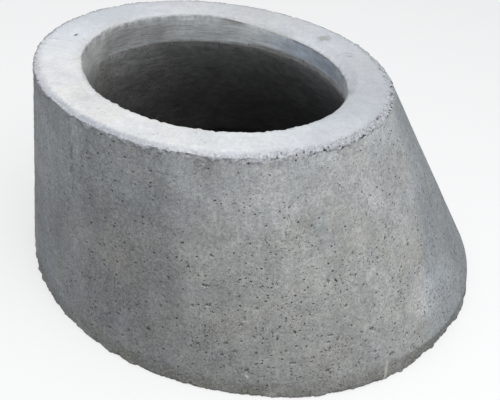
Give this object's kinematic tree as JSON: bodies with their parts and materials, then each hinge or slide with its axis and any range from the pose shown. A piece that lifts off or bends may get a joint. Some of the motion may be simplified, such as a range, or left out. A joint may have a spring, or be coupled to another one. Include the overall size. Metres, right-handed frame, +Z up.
{
  "type": "precast manhole cone",
  "caption": "Off-centre precast concrete cone with one upright side, narrowing a round manhole shaft to a round access opening in a flat top ring.",
  "frame": {"origin": "centre of the foot ring, on the ground", "axes": "+Z up along the shaft; the upright side faces -X, so the access opening is shifted towards -X; the cone is mirror-symmetric about the XZ plane"},
  "size_m": [1.2, 1.2, 0.57],
  "materials": {
    "concrete": "cast concrete, matt, with small air holes"
  },
  "bodies": {
    "root": {"cone": "concrete"}
  },
  "joints": []
}
